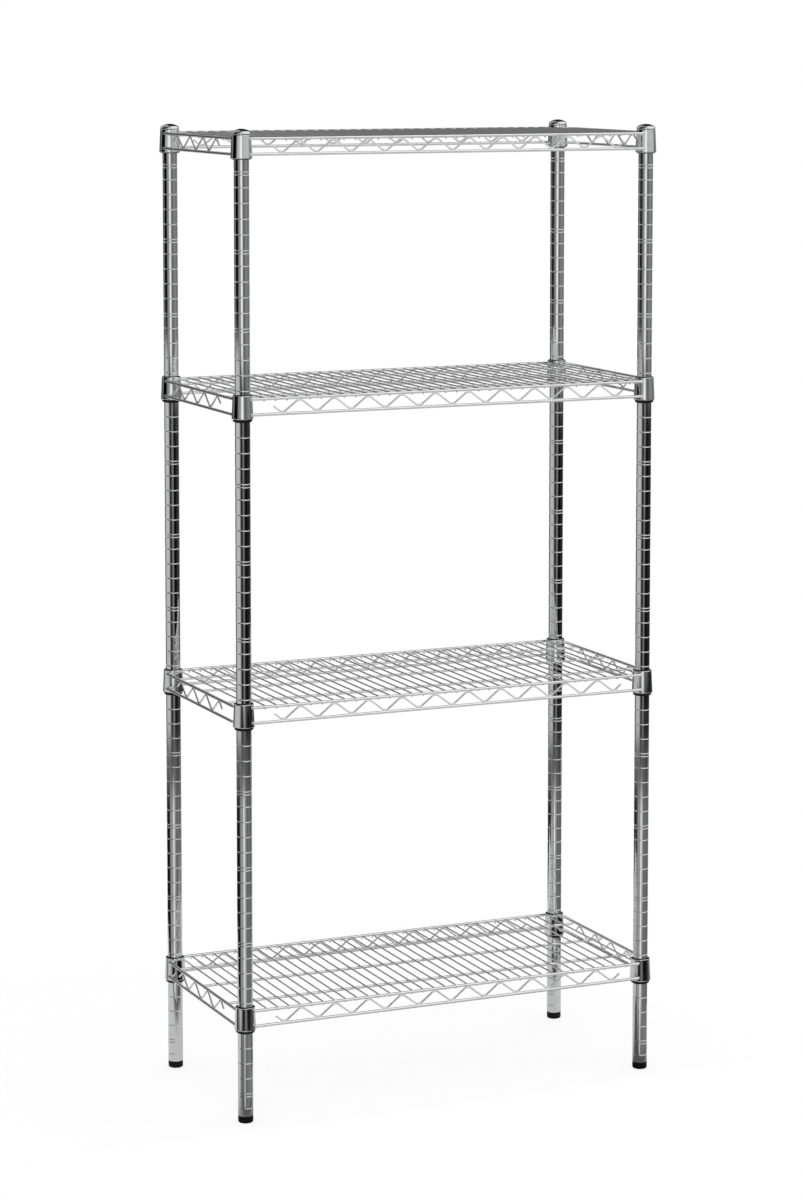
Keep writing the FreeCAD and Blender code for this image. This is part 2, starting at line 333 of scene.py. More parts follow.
# %% [markdown]
# ## Collars and split sleeves
# Each shelf corner is a tapered collar that wedges onto a black plastic sleeve. The sleeve
# comes in two halves that clip round the post, with a ridge in one groove. The collar is a
# plain tapered ring whose four rims are rounded with a bevel, because the bright line along
# each rim is what makes it read as pressed metal. A ring of points near each rim keeps the
# long faces between them flat in the shading. The sleeve halves are spun short of a half
# turn, which leaves the real split between them.

# %% Collar
COLLAR_HEIGHT = 38.0 * MM
COLLAR_LOW = 17.8 * MM
COLLAR_HIGH = 16.0 * MM
COLLAR_WALL = 1.8 * MM
COLLAR_ROUND = 0.6 * MM
COLLAR_HOLD = 1.3 * MM
COLLAR_ROUND_STEPS = 4
COLLAR_STEPS = 64


def collar_radius(height):
    return COLLAR_LOW + (COLLAR_HIGH - COLLAR_LOW) * height / COLLAR_HEIGHT


def select_rims(piece, heights):
    """Select the edges that run round the axis at these heights."""
    bpy.ops.mesh.select_all(action="DESELECT")
    bpy.ops.object.mode_set(mode="OBJECT")
    mesh = piece.data
    for edge in mesh.edges:
        a, b = (mesh.vertices[v].co for v in edge.vertices)
        around = abs(a.z - b.z) < TOUCH and abs(a.xy.length - b.xy.length) < TOUCH
        edge.select = around and any(abs(a.z - height) < TOUCH for height in heights)
    bpy.ops.object.mode_set(mode="EDIT")
    bpy.ops.mesh.select_mode(type="EDGE")


collar_heights = (0.0, COLLAR_HOLD, COLLAR_HEIGHT - COLLAR_HOLD, COLLAR_HEIGHT)
collar_outer = [(collar_radius(height), height) for height in collar_heights]
collar_inner = [(radius - COLLAR_WALL, height) for radius, height in reversed(collar_outer)]
collar_pattern = begin_piece("collar_pattern")
draw_outline(collar_outer + collar_inner + collar_outer[:1])
bpy.ops.mesh.spin(steps=COLLAR_STEPS, angle=math.tau, center=(0, 0, 0), axis=(0, 0, 1))
bpy.ops.mesh.select_all(action="SELECT")
bpy.ops.mesh.remove_doubles(threshold=TOUCH)
select_rims(collar_pattern, (0.0, COLLAR_HEIGHT))
bpy.ops.mesh.bevel(offset=COLLAR_ROUND, segments=COLLAR_ROUND_STEPS, profile=0.5, affect="EDGES")
bpy.ops.mesh.select_mode(type="VERT")
close_piece(collar_pattern)

# %% Sleeve half
SLEEVE_INNER = 12.6 * MM
SLEEVE_REACH = 4.5 * MM
SLEEVE_HEIGHT = 43.7 * MM
SLEEVE_TO_COLLAR = 2.25 * MM
SLEEVE_ROUND = 1.6 * MM
SLEEVE_TOP_CHAMFER = 0.4 * MM
SLEEVE_RIDGE = 12.05 * MM
RIDGE_HEIGHT = 25.0 * MM
RIDGE_HALF = 0.85 * MM
RIDGE_FLAT = 0.45 * MM
SPLIT_HALF = 0.4 * MM
SLEEVE_ROUND_STEPS = 5
SLEEVE_STEPS = 32


def sleeve_radius(height):
    return collar_radius(height - SLEEVE_REACH) - SLEEVE_TO_COLLAR


shoulder = SLEEVE_HEIGHT - SLEEVE_TOP_CHAMFER
sleeve_tip = sleeve_radius(SLEEVE_HEIGHT) - SLEEVE_TOP_CHAMFER
low_edge = (sleeve_radius(SLEEVE_ROUND) - SLEEVE_ROUND, SLEEVE_ROUND)
sleeve_outline = [(SLEEVE_INNER, 0.0)]
sleeve_outline += arc(low_edge, SLEEVE_ROUND, -90, 0, SLEEVE_ROUND_STEPS)
sleeve_outline += [(sleeve_radius(shoulder), shoulder), (sleeve_tip, SLEEVE_HEIGHT)]
sleeve_outline += [(SLEEVE_INNER, SLEEVE_HEIGHT), (SLEEVE_INNER, RIDGE_HEIGHT + RIDGE_HALF)]
sleeve_outline += [(SLEEVE_RIDGE, RIDGE_HEIGHT + RIDGE_FLAT)]
sleeve_outline += [(SLEEVE_RIDGE, RIDGE_HEIGHT - RIDGE_FLAT)]
sleeve_outline += [(SLEEVE_INNER, RIDGE_HEIGHT - RIDGE_HALF), (SLEEVE_INNER, 0.0)]


def half_sleeve(name, start):
    """Half of a sleeve, from a start angle in radians, a little short of half a turn."""
    piece = begin_piece(name)
    draw_outline(sleeve_outline)
    split = SPLIT_HALF / POST_RADIUS
    bpy.ops.mesh.remove_doubles(threshold=TOUCH)
    bpy.ops.transform.rotate(value=-(start + split), orient_axis="Z", center_override=(0, 0, 0))
    bpy.ops.mesh.spin(steps=SLEEVE_STEPS, angle=-(math.pi - 2 * split), center=(0, 0, 0),
                      axis=(0, 0, 1), use_auto_merge=False)
    bpy.ops.mesh.select_all(action="SELECT")
    bpy.ops.mesh.fill_holes(sides=0)
    return close_piece(piece)


sleeve_halves = [half_sleeve("sleeve_front_pattern", math.pi),
                 half_sleeve("sleeve_back_pattern", 0.0)]
for half in sleeve_halves:
    ys = [v.co.y for v in half.data.vertices]
    print(half.name, "spans y from", round(min(ys), 4), "to", round(max(ys), 4))


def join_pieces(name, pieces):
    bpy.ops.object.select_all(action="DESELECT")
    for piece in pieces:
        piece.select_set(True)
    bpy.context.view_layer.objects.active = pieces[0]
    bpy.ops.object.join()
    pieces[0].name = name
    pieces[0].data.name = name
    return pieces[0]


sleeve_pattern = join_pieces("sleeve_pattern", sleeve_halves)

# %% Set both at the four corners of every shelf
def at_corners(piece):
    """Two Array modifiers repeat a piece at the front left corner on all four posts."""
    repeat_piece(piece, 2, (2 * half_x, 0, 0))
    repeat_piece(piece, 2, (0, 2 * half_y, 0))


sleeves = {}
for n in SHELVES:
    for c in CORNERS:
        place = post_places[c] + Vector((0, 0, sleeve_bases[n]))
        sleeves[n, c] = copy_piece(sleeve_pattern, f"shelf_{n}_split_sleeve_{c}", place)
remove_pattern(sleeve_pattern)
collar_set = copy_piece(collar_pattern, "collar_set", post_places["front_left"])
at_corners(collar_set)
remove_pattern(collar_pattern)
print(len(sleeves), "sleeves; collar set has", len(collar_set.data.polygons), "faces")

# %% [markdown]
# ## Bent and straight wire
# A shelf is welded from drawn steel wire. A curve with a bevel would give round wire at
# once, but bending it the way a wire bender does keeps control of every radius: a ring of
# points is extruded along each straight run and spun round each bend. Smooth shading blends
# across every ring, so a second ring close by holds the blend at the ends of each straight run.

# %% Wire tools
WIRE_SIDES = 14
WIRE_SHARP_ANGLE = 50.0
BEND_STEPS = 3
NOSE_SHARE = 0.72
NOSE_LENGTH = 0.45
HOLD = 0.35 * MM


def push_ring(step):
    bpy.ops.mesh.extrude_region_move(TRANSFORM_OT_translate={"value": step})


def push_straight(start, end):
    """A straight run with a holding ring close to each end."""
    hold = (end - start).normalized() * HOLD
    push_ring(hold)
    push_ring(end - start - 2 * hold)
    push_ring(hold)


def scale_ring(factor, centre):
    bpy.ops.transform.resize(value=(factor, factor, factor), center_override=centre)


def bend_wire(name, points, wire_radius, bend_radius=0.0, sides=WIRE_SIDES):
    """Wire through the points: straight runs, round bends and softened ends."""
    piece = begin_piece(name)
    heading = (points[1] - points[0]).normalized()
    nose = wire_radius * NOSE_LENGTH
    facing = heading.to_track_quat("Z", "Y").to_euler()
    bpy.ops.mesh.primitive_circle_add(vertices=sides, radius=wire_radius * NOSE_SHARE,
                                      fill_type="NOTHING", location=points[0], rotation=facing)
    here = points[0] + heading * nose
    push_ring(heading * nose)
    scale_ring(1 / NOSE_SHARE, here)
    for before, corner, after in zip(points, points[1:], points[2:]):
        back = (before - corner).normalized()
        ahead = (after - corner).normalized()
        turn = math.pi - back.angle(ahead)
        cut = bend_radius * math.tan(turn / 2)
        centre = corner + (back + ahead).normalized() * (bend_radius / math.cos(turn / 2))
        push_straight(here, corner + back * cut)
        bpy.ops.mesh.spin(steps=BEND_STEPS, angle=turn, center=centre, axis=ahead.cross(-back),
                          use_auto_merge=False)
        here = corner + ahead * cut
        heading = ahead
    end = points[-1]
    push_straight(here, end - heading * nose)
    push_ring(heading * nose)
    scale_ring(NOSE_SHARE, end)
    bpy.ops.mesh.select_all(action="SELECT")
    bpy.ops.mesh.fill_holes(sides=0)
    return close_piece(piece, WIRE_SHARP_ANGLE)


# %% [markdown]
# ## Rails and zigzag trusses
# Two rails run along every side, flush with the outside of the collars, and a zigzag wire
# between them turns each pair into a truss. One side is bent and a Mirror modifier gives the
# side across the shelf, so both stay the same.

# %% Rails
RAIL_RADIUS = 2.5 * MM
RAIL_HEIGHTS = (7.0 * MM, 32.0 * MM)
RAIL_END_MARGIN = 0.4 * MM


def rail_offset(height):
    """How far a rail's axis runs outside the line of the post axes."""
    return collar_radius(height) - RAIL_RADIUS


def rail_end(height):
    """How far short of the post axis a rail ends, in the wall of the collar."""
    bore = collar_radius(height) - COLLAR_WALL
    inner_edge = collar_radius(height) - 2 * RAIL_RADIUS
    return math.sqrt(bore ** 2 - inner_edge ** 2) + RAIL_END_MARGIN


def mirror_across(piece, side_axis):
    """Mirror to the far side; the copy is turned inside out, so the normals are made again."""
    mirror_axes = (side_axis == 0, side_axis == 1, False)
    apply_modifier(piece, "MIRROR", use_axis=mirror_axes, use_mirror_merge=False)
    bpy.ops.object.mode_set(mode="EDIT")
    close_piece(piece, WIRE_SHARP_ANGLE)


def rail_pair(name, along, across, half_along, half_across, side_axis):
    rails = []
    for level, height in zip(("low", "high"), RAIL_HEIGHTS):
        place = across * -(half_across + rail_offset(height)) + Vector((0, 0, height))
        reach = along * (half_along - rail_end(height))
        rails.append(bend_wire(name + "_" + level, [place - reach, place + reach], RAIL_RADIUS))
    pair = join_pieces(name, rails)
    mirror_across(pair, side_axis)
    return pair


X_WAY = Vector((1, 0, 0))
Y_WAY = Vector((0, 1, 0))
long_rails = rail_pair("long_rail_set", X_WAY, Y_WAY, half_x, half_y, 1)
side_rails = rail_pair("side_rail_set", Y_WAY, X_WAY, half_y, half_x, 0)

# %% Zigzags
ZIGZAG_RADIUS = 1.6 * MM
ZIGZAG_STROKE = 30.0 * MM
ZIGZAG_END_SPACE = 60.0 * MM
ZIGZAG_FLAT = 7.0 * MM
ZIGZAG_BEND = 5.0 * MM
ZIGZAG_SIDES = 12
WELD_SET_DOWN = 0.3 * MM


def zigzag(name, along, across, half_along, half_across, side_axis):
    """One bent wire, leaning with its rails, valleys at even and peaks at odd strokes."""
    low, high = [across * -(half_across + rail_offset(h)) + Vector((0, 0, h)) for h in RAIL_HEIGHTS]
    up = (high - low).normalized()
    seat = up * (RAIL_RADIUS + ZIGZAG_RADIUS - WELD_SET_DOWN)
    levels = (low + seat, high - seat)
    last = int((half_along - ZIGZAG_END_SPACE) / ZIGZAG_STROKE + TOUCH)
    flat = along * (ZIGZAG_FLAT / 2)
    half_rise = (levels[1] - levels[0]) / 2
    tail = along * (last * ZIGZAG_STROKE + ZIGZAG_FLAT / 2 + (ZIGZAG_STROKE - ZIGZAG_FLAT) / 2)
    tail_level = levels[0] + half_rise
    points = [tail_level - tail]
    for number in range(-last, last + 1):
        middle = levels[number % 2] + along * (number * ZIGZAG_STROKE)
        points += [middle - flat, middle + flat]
    points.append(tail_level + tail)
    wire = bend_wire(name, points, ZIGZAG_RADIUS, ZIGZAG_BEND, ZIGZAG_SIDES)
    mirror_across(wire, side_axis)
    return wire


long_zigzag = zigzag("long_zigzag_set", X_WAY, Y_WAY, half_x, half_y, 1)
side_zigzag = zigzag("side_zigzag_set", Y_WAY, X_WAY, half_y, half_x, 0)
zigzags = join_pieces("zigzag_set", [long_zigzag, side_zigzag])

# %% [markdown]
# ## Shelf mat
# The goods stand on a mat of thin wires across the shelf, with their ends bent down inside
# the long rails, on three thicker stringers. These wires are all alike, so one is bent and an
# Array modifier lays the rest beside it. Only the outermost wire at each end differs: it lies
# in line with the collars, so it is straight and ends in the collar walls.

# %% Mat wires
MAT_RADIUS = 1.4 * MM
MAT_PITCH = 20.0 * MM
MAT_END_SPACE = 30.0 * MM
MAT_BEND = 3.2 * MM
MAT_TIP_DROP = 2.0 * MM
MAT_SIDES = 10

rail_top = RAIL_HEIGHTS[1]
mat_axis = rail_top + RAIL_RADIUS - MAT_RADIUS
mat_count = 2 * round((half_x - MAT_END_SPACE) / MAT_PITCH)
mat_leg = half_y + rail_offset(rail_top) - RAIL_RADIUS - MAT_RADIUS + WELD_SET_DOWN
mat_tip = rail_top - RAIL_RADIUS - MAT_TIP_DROP
first_x = -(mat_count - 1) / 2 * MAT_PITCH
mat_points = [Vector((first_x, y, z)) for y, z in
              ((-mat_leg, mat_tip), (-mat_leg, mat_axis), (mat_leg, mat_axis), (mat_leg, mat_tip))]
mat_wires = bend_wire("mat_set", mat_points, MAT_RADIUS, MAT_BEND, MAT_SIDES)
repeat_piece(mat_wires, mat_count, (MAT_PITCH, 0, 0))
print("mat has", mat_count, "bent wires")

# %% End wires of the mat
end_x = (mat_count + 1) / 2 * MAT_PITCH
collar_bore = collar_radius(mat_axis) - COLLAR_WALL
end_gap = math.sqrt(collar_bore ** 2 - (half_x - end_x - MAT_RADIUS) ** 2) + RAIL_END_MARGIN
end_reach = Y_WAY * (half_y - end_gap)
end_middle = Vector((-end_x, 0, mat_axis))
end_points = [end_middle - end_reach, end_middle + end_reach]
end_wires = bend_wire("mat_end_set", end_points, MAT_RADIUS, sides=MAT_SIDES)
mirror_across(end_wires, 0)
mat_wires = join_pieces("mat_set", [mat_wires, end_wires])
print("with its end wires the mat has", len(mat_wires.data.polygons), "faces")

# %% Stringers
STRINGER_RADIUS = 2.25 * MM
STRINGER_INSET = 53.0 * MM
STRINGER_COUNT = 3

stringer_height = mat_axis - MAT_RADIUS - STRINGER_RADIUS + WELD_SET_DOWN
stringer_reach = half_x + rail_offset(rail_top) - RAIL_RADIUS + WELD_SET_DOWN
stringer_start = Vector((-stringer_reach, STRINGER_INSET - half_y, stringer_height))
stringer_end = stringer_start + X_WAY * 2 * stringer_reach
stringers = bend_wire("stringer_set", [stringer_start, stringer_end], STRINGER_RADIUS)
repeat_piece(stringers, STRINGER_COUNT, (0, half_y - STRINGER_INSET, 0))

# %% Copy the shelf to its four heights
SHELF_SETS = {"collars": collar_set, "long_rails": long_rails, "side_rails": side_rails,
              "zigzags": zigzags, "mat_wires": mat_wires, "stringers": stringers}
shelf_pieces = {}
for kind, pattern in SHELF_SETS.items():
    for n in SHELVES:
        name = f"shelf_{n}_{kind}_chrome"
        shelf_pieces[n, kind] = copy_piece(pattern, name, Vector((0, 0, shelf_bases[n])))
    remove_pattern(pattern)
print("made", len(shelf_pieces), "shelf pieces")

# %% [markdown]
# ## Every piece rides on its CAD body
# The lifting shelves and the turning feet carry their new pieces along, and each new piece
# stands for the CAD node that it covers.

# %% Ride and replace
def settle(piece, body, node):
    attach(piece, body)
    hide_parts(node)


for c in CORNERS:
    settle(posts[c], "frame", "post_" + c)
    settle(caps[c], "frame", "post_cap_" + c)
    settle(stems[c], f"foot_stem_{c}_body", "foot_stem_" + c)
    settle(pads[c], f"foot_pad_{c}_body", "foot_pad_" + c)
for (n, c), piece in sleeves.items():
    settle(piece, "frame", f"shelf_{n}_sleeve_{c}")
for (n, kind), piece in shelf_pieces.items():
    shelf_slot = "chrome_collar" if kind == "collars" else "chrome_wire"
    settle(piece, f"shelf_{n}", f"shelf_{n}_{kind}")
print("riding:", 4 * len(CORNERS) + len(sleeves) + len(shelf_pieces), "pieces")

# %% [markdown]
# ## Finishes
# Shader maths is easier to read as sums than as a web of nodes, so one small class wraps a
# socket: arithmetic on it adds Math nodes, and its node method adds any other node.

# %% Shader arithmetic
class Paint:
    """A socket of a node tree, with arithmetic that adds Math nodes."""

    def __init__(self, tree, socket=None):
        self.tree = tree
        self.socket = socket

    def node(self, kind, settings=None, inputs=None, output=0):
        made = self.tree.nodes.new(kind)
        for name, value in (settings or {}).items():
            if name == "stops":
                self.set_stops(made.color_ramp, value)
            else:
                setattr(made, name, value)
        for name, value in (inputs or {}).items():
            if isinstance(value, Paint):
                self.tree.links.new(value.socket, made.inputs[name])
            else:
                made.inputs[name].default_value = value
        return Paint(self.tree, made.outputs[output] if made.outputs else None)

    def set_stops(self, ramp, stops):
        while len(ramp.elements) < len(stops):
            ramp.elements.new(1.0)
        for element, (place, shade) in zip(ramp.elements, stops):
            element.position = place
            element.color = (shade, shade, shade, 1.0)

    def maths(self, operation, first, second):
        return self.node("ShaderNodeMath", {"operation": operation}, {0: first, 1: second})

    def __add__(self, other):
        return self.maths("ADD", self, other)

    def __radd__(self, other):
        return self.maths("ADD", other, self)

    def __sub__(self, other):
        return self.maths("SUBTRACT", self, other)

    def __rsub__(self, other):
        return self.maths("SUBTRACT", other, self)

    def __mul__(self, other):
        return self.maths("MULTIPLY", self, other)

    def __rmul__(self, other):
        return self.maths("MULTIPLY", other, self)

    def mix(self, low, high):
        """A colour from low to high, with this value as the share of high."""
        return self.node("ShaderNodeMix", {"data_type": "RGBA"}, {0: self, 6: low, 7: high}, 2)

    def smooth(self, start, end):
        """0 below start and 1 above end, with soft shoulders."""
        return self.node("ShaderNodeMapRange", {"interpolation_type": "SMOOTHSTEP"},
                         {"Value": self, "From Min": start, "From Max": end})


def new_finish(name):
    """A material and the wrapped Object coordinates that its patterns read."""
    material = bpy.data.materials.new(name)
    material.use_nodes = True
    shader = material.node_tree.nodes["Principled BSDF"]
    place = Paint(material.node_tree).node("ShaderNodeTexCoord", output="Object")
    return material, shader, place


def feed(shader, **inputs):
    """Link or set the shader's sockets; underscores in a name stand for spaces."""
    for name, value in inputs.items():
        socket = shader.inputs[name.replace("_", " ")]
        if isinstance(value, Paint):
            value.tree.links.new(value.socket, socket)
        else:
            socket.default_value = value


EVEN = (1.0, 1.0, 1.0)


def noise(place, scale, detail, stretch=EVEN):
    stretched = place.node("ShaderNodeMapping", inputs={"Vector": place, "Scale": stretch})
    return place.node("ShaderNodeTexNoise",
                      inputs={"Vector": stretched, "Scale": scale, "Detail": detail})


def bump(place, height, strength, distance):
    return place.node("ShaderNodeBump",
                      inputs={"Height": height, "Strength": strength, "Distance": distance})


# %% [markdown]
# ### Chrome
# Bright chrome has hardly any colour of its own: it shows the studio. What tells it from a
# perfect mirror is a faint haze from handling, a slow waviness left by drawing the steel,
# and fine polishing lines. Tubes are polished along their length and collars all over, so
# the lines are stretched a different way on each.

# %% Chrome finishes
BRIGHT = (0.82, 0.825, 0.83, 1.0)
# Painted sheen: the wire chrome is brighter than the tube chrome only so that the thin wires render
# lighter.
BRIGHT_WITH_PAINTED_SHEEN = (0.93, 0.932, 0.935, 1.0)
DULL = (0.68, 0.685, 0.69, 1.0)
HAZE_DETAIL = 4.0
LINE_DETAIL = 2.0
WAVE_DETAIL = 1.0
TARNISH_START = 0.52
TARNISH_FULL = 0.78
TARNISH_SHARE = 0.6
CHROME_ROUGHNESS = 0.03
TARNISH_ROUGHNESS = 0.04
LINE_ROUGHNESS = 0.03
LINE_DEPTH = 0.04
CHROME_BUMP = 0.2


def chrome(name, bright, haze_scale, line_scale, wave_scale, wave_depth,
           line_stretch=EVEN, wave_stretch=EVEN):
    material, shader, place = new_finish(name)
    haze = noise(place, haze_scale, HAZE_DETAIL)
    lines = noise(place, line_scale, LINE_DETAIL, line_stretch)
    wave = noise(place, wave_scale, WAVE_DETAIL, wave_stretch)
    tarnish = haze.smooth(TARNISH_START, TARNISH_FULL)
    feed(shader, Metallic=1.0, Base_Color=(tarnish * TARNISH_SHARE).mix(bright, DULL),
         Roughness=CHROME_ROUGHNESS + TARNISH_ROUGHNESS * tarnish + LINE_ROUGHNESS * lines,
         Normal=bump(place, wave + LINE_DEPTH * lines, CHROME_BUMP, wave_depth))
    return material


post_chrome = chrome("chrome on tube", BRIGHT, haze_scale=26.0, line_scale=900.0, wave_scale=90.0,
                     wave_depth=0.25 * MM, line_stretch=(1.0, 1.0, 0.02),
                     wave_stretch=(1.0, 1.0, 0.1))
# Wire chrome carries the painted sheen of the brighter base colour.
wire_chrome = chrome("chrome on drawn wire", BRIGHT_WITH_PAINTED_SHEEN, haze_scale=70.0, line_scale=700.0,
                     wave_scale=160.0, wave_depth=0.1 * MM)
collar_chrome = chrome("chrome on pressed collar", BRIGHT, haze_scale=60.0, line_scale=800.0,
                       wave_scale=90.0, wave_depth=0.15 * MM, line_stretch=(1.0, 1.0, 0.05),
                       wave_stretch=(1.0, 1.0, 0.2))
cap_chrome = chrome("chrome on cap", BRIGHT, haze_scale=80.0, line_scale=600.0, wave_scale=70.0,
                    wave_depth=0.1 * MM)
print("chrome for tubes, wires, collars and caps")

# %% [markdown]
# ### Black plastic and zinc
# Sleeves and feet are moulded in black plastic with a fine grain, and the feet are scuffed
# and dusty low down. The stems and inserts are zinc plated, with soft grey blooms.

# %% Black plastic
PLASTIC_BLACK = (0.005, 0.005, 0.0054, 1)
PLASTIC_DUSTY = (0.025, 0.024, 0.023, 1)
GRAIN_SCALE = 2600.0
GRAIN_DETAIL = 2.0
SCUFF_SCALE = 240.0
SCUFF_DETAIL = 5.0
SCUFF_START = 0.5
SCUFF_FULL = 0.75
SCUFF_DEPTH = 0.5
DUST_LOW = 0.5
DUST_EVERYWHERE = 0.12
PLASTIC_GLOSS = 0.15
PLASTIC_ROUGHNESS = 0.4
SCUFF_ROUGHNESS = 0.22
PLASTIC_BUMP = 0.3
GRAIN_DEPTH = 0.05 * MM


def black_plastic(name, dust_height):
    material, shader, place = new_finish(name)
    grain = noise(place, GRAIN_SCALE, GRAIN_DETAIL)
    scuff = noise(place, SCUFF_SCALE, SCUFF_DETAIL).smooth(SCUFF_START, SCUFF_FULL)
    height = place.node("ShaderNodeSeparateXYZ", inputs={0: place}, output="Z")
    dust = (1 - height.smooth(0.0, dust_height)) * DUST_LOW + DUST_EVERYWHERE
    feed(shader, Base_Color=(scuff * dust).mix(PLASTIC_BLACK, PLASTIC_DUSTY),
         Specular_IOR_Level=PLASTIC_GLOSS, Roughness=PLASTIC_ROUGHNESS + SCUFF_ROUGHNESS * scuff,
         Normal=bump(place, grain + SCUFF_DEPTH * scuff, PLASTIC_BUMP, GRAIN_DEPTH))
    return material


sleeve_black = black_plastic("black sleeve plastic", dust_height=2 * MM)
foot_black = black_plastic("black foot plastic", dust_height=6 * MM)
print("plastic for sleeves and feet")

# %% Zinc plate
ZINC_DARK = (0.50, 0.51, 0.53, 1)
ZINC_PALE = (0.70, 0.71, 0.70, 1)
BLOOM_SCALE = 320.0
BLOOM_DETAIL = 4.0
ZINC_ROUGHNESS = 0.28
BLOOM_ROUGHNESS = 0.2
ZINC_BUMP = 0.2
BLOOM_DEPTH = 0.03 * MM


def zinc_plate(name):
    material, shader, place = new_finish(name)
    bloom = noise(place, BLOOM_SCALE, BLOOM_DETAIL)
    feed(shader, Metallic=1.0, Base_Color=bloom.mix(ZINC_DARK, ZINC_PALE),
         Roughness=ZINC_ROUGHNESS + BLOOM_ROUGHNESS * bloom,
         Normal=bump(place, bloom, ZINC_BUMP, BLOOM_DEPTH))
    return material


zinc = zinc_plate("zinc plate")
print("zinc for stems and inserts")

# %% Give every piece its finish
def finish_piece(piece, material):
    piece.data.materials.clear()
    piece.data.materials.append(material)


for c in CORNERS:
    finish_piece(posts[c], post_chrome)
    finish_piece(caps[c], cap_chrome)
    finish_piece(stems[c], zinc)
    finish_piece(pads[c], foot_black)
    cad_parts["foot_insert_" + c].material_slots[0].material = zinc
for piece in sleeves.values():
    finish_piece(piece, sleeve_black)
for (n, kind), piece in shelf_pieces.items():
    finish_piece(piece, collar_chrome if kind == "collars" else wire_chrome)
print("finishes:", sorted(m.name for m in bpy.data.materials if m.users))

# %% [markdown]
# ## Floor
# The unit stands on a sheet of pale paper. A plain white plane would do for the camera, but
# the chrome of the legs mirrors the floor, so for every other ray the paper is painted grey,
# and painted darker towards the front and in one patch near the front right leg. This is a
# painted reflection, so that the legs mirror dark there. In the mirror its paler parts also
# glow a little white, a painted reflection of light. The camera looks nearly through the paper
# to the white studio: only a faint shadow at the feet is left, and it fades out before the
# edges, so that the picture has no horizon.

# %% Floor sheet
SHEET_LEFT = -0.95
SHEET_RIGHT = 0.75
SHEET_FRONT = -0.25
SHEET_BACK = 1.0

bpy.ops.object.select_all(action="DESELECT")
bpy.ops.mesh.primitive_plane_add(size=1.0)
floor = bpy.context.object
floor.name = "floor"
sheet_middle = Vector((SHEET_RIGHT + SHEET_LEFT, SHEET_BACK + SHEET_FRONT, 0)) / 2
bpy.ops.object.mode_set(mode="EDIT")
bpy.ops.transform.resize(value=(SHEET_RIGHT - SHEET_LEFT, SHEET_BACK - SHEET_FRONT, 1))
bpy.ops.transform.translate(value=sheet_middle)
bpy.ops.object.mode_set(mode="OBJECT")
floor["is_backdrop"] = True
print("floor sheet", [round(side, 3) for side in floor.dimensions], "m")

# %% Painted reflection: grey of the paper in the mirror
PATCH_LEFT = -0.12
PATCH_RIGHT = 0.3
PATCH_BACK = 0.06
PATCH_SLANT = 0.34
PATCH_FADE = 0.12
DARK_FRONT = -0.25
PALE_BACK = -0.02
# Painted reflection greys of the paper for every ray but the camera's: dark at the front, paler at
# the back.
PAINTED_REFLECTION_FRONT = (0.08, 0.08, 0.08, 1)
PAINTED_REFLECTION_BACK = (0.53, 0.53, 0.53, 1)
PAPER_SEEN = (0.97, 0.97, 0.97, 1)
PAPER_MOTTLE = (0.99, 0.99, 0.99, 1)
MOTTLE_SCALE = 6.0
MOTTLE_DETAIL = 4.0
PAPER_ROUGHNESS = 0.9

floor_paint, floor_shader, floor_place = new_finish("pale floor")
seen = floor_place.node("ShaderNodeLightPath", output="Is Camera Ray")
mottle = noise(floor_place, MOTTLE_SCALE, MOTTLE_DETAIL).mix(PAPER_SEEN, PAPER_MOTTLE)
floor_x = floor_place.node("ShaderNodeSeparateXYZ", inputs={0: floor_place}, output="X")
floor_y = floor_place.node("ShaderNodeSeparateXYZ", inputs={0: floor_place}, output="Y")
# Painted reflection: the paper is painted darker in a patch near the front right leg and towards
# the front, so that the chrome legs mirror dark there.
slant = floor_y + PATCH_SLANT * floor_x
patch = floor_x.smooth(PATCH_LEFT, PATCH_LEFT + PATCH_FADE)
patch = patch * (1 - floor_x.smooth(PATCH_RIGHT, PATCH_RIGHT + PATCH_FADE))
patch = patch * (1 - slant.smooth(PATCH_BACK - PATCH_FADE, PATCH_BACK))
painted_reflection_paleness = floor_y.smooth(DARK_FRONT, PALE_BACK) * (1 - patch)
# The painted reflection grey goes to every ray but the camera's; the camera sees the pale mottled
# paper.
grey = painted_reflection_paleness.mix(PAINTED_REFLECTION_FRONT, PAINTED_REFLECTION_BACK)
feed(floor_shader, Base_Color=seen.mix(grey, mottle), Roughness=PAPER_ROUGHNESS)
finish_piece(floor, floor_paint)
print("paper from", PAINTED_REFLECTION_FRONT[0], "at the front to", PAINTED_REFLECTION_BACK[0], "at the back")

# %% What the camera sees of the paper
WHITE = (1, 1, 1, 1)
SHEET_FADE = 0.3
FRONT_FADE = 0.07
CAMERA_WHITE = 0.8
# Share of painted white glow that the chrome sees in the paler paper.
MIRROR_WHITE = 0.2

inside = floor_x.smooth(SHEET_LEFT, SHEET_LEFT + SHEET_FADE)
inside = inside * (1 - floor_x.smooth(SHEET_RIGHT - SHEET_FADE, SHEET_RIGHT))
inside = inside * floor_y.smooth(SHEET_FRONT, SHEET_FRONT + FRONT_FADE)
inside = inside * (1 - floor_y.smooth(SHEET_BACK - SHEET_FADE, SHEET_BACK))
clearness = seen * (1 - (1 - CAMERA_WHITE) * inside)
in_mirror = floor_place.node("ShaderNodeLightPath", output="Is Glossy Ray")
